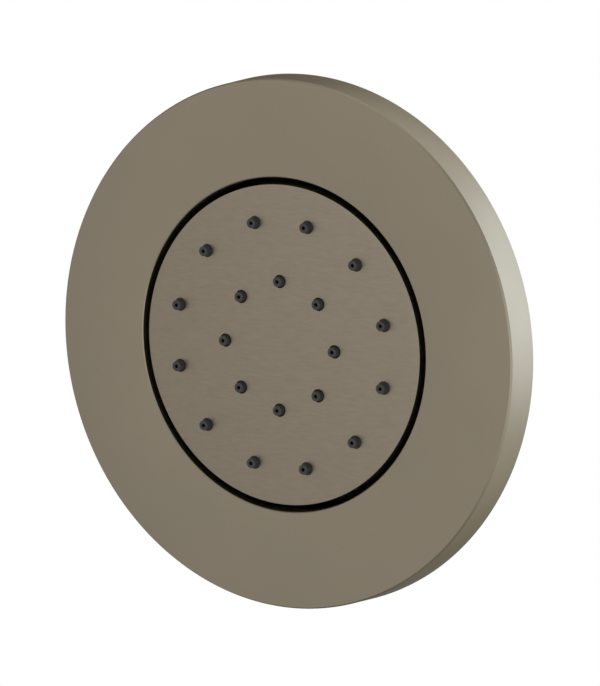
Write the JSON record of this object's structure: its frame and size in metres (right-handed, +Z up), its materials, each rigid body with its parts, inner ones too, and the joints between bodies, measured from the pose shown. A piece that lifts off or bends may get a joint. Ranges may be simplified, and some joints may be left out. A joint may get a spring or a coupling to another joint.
{
  "type": "shower body jet",
  "caption": "Round flush wall jet for a shower: a satin metal trim ring round a brushed spray face with rubber nubs, which tilts and turns on a ball joint fed from behind.",
  "frame": {"origin": "centre of the ball joint, on the jet's axis in the plane of the finished wall", "axes": "+Y along the jet's axis into the wall, so the spray face looks along -Y; +Z up as mounted, +X to the right seen from the front"},
  "size_m": [0.1214, 0.0526, 0.1214],
  "materials": {
    "satin_nickel": "brushed nickel plate, satin",
    "bare_brass": "turned brass",
    "nub_silicone": "matt silicone",
    "black_rubber": "smooth rubber",
    "foam_rubber": "closed-cell foam",
    "black_plastic": "moulded, fine grain",
    "grey_plastic": "moulded, smooth",
    "white_plastic": "moulded, smooth",
    "stainless_steel": "plain stainless steel"
  },
  "bodies": {
    "wall_set": {"trim_ring": "satin_nickel", "trim_grip_ring": "black_rubber", "wall_housing": "black_plastic", "wall_gasket": "foam_rubber", "ball_nipple": "bare_brass", "nipple_washer": "black_rubber", "lock_nut_washer": "stainless_steel", "lock_nut": "bare_brass", "flow_regulator": "white_plastic", "regulator_ring": "black_rubber", "inlet_screen": "grey_plastic"},
    "swivel_liner": {"ball_liner": "white_plastic"},
    "swivel_seal": {"ball_seal": "black_rubber"},
    "spray_head": {"face_plate": "satin_nickel", "nozzle_mat": "nub_silicone", "waterway_plate": "grey_plastic", "head_shell": "black_plastic", "head_seal_ring": "black_rubber", "head_screws": "stainless_steel", "ball_nut": "bare_brass"}
  },
  "joints": [
    {"name": "head_tilt", "type": "hinge", "parent": "wall_set", "child": "swivel_liner", "pos_m": [0, 0, 0], "axis": [1, 0, 0], "range_deg": [-10, 10]},
    {"name": "head_swing", "type": "hinge", "parent": "swivel_liner", "child": "swivel_seal", "pos_m": [0, 0, 0], "axis": [0, 0, 1], "range_deg": [-10, 10]},
    {"name": "head_spin", "type": "hinge", "parent": "swivel_seal", "child": "spray_head", "pos_m": [0, 0, 0], "axis": [0, 1, 0], "continuous": true}
  ]
}
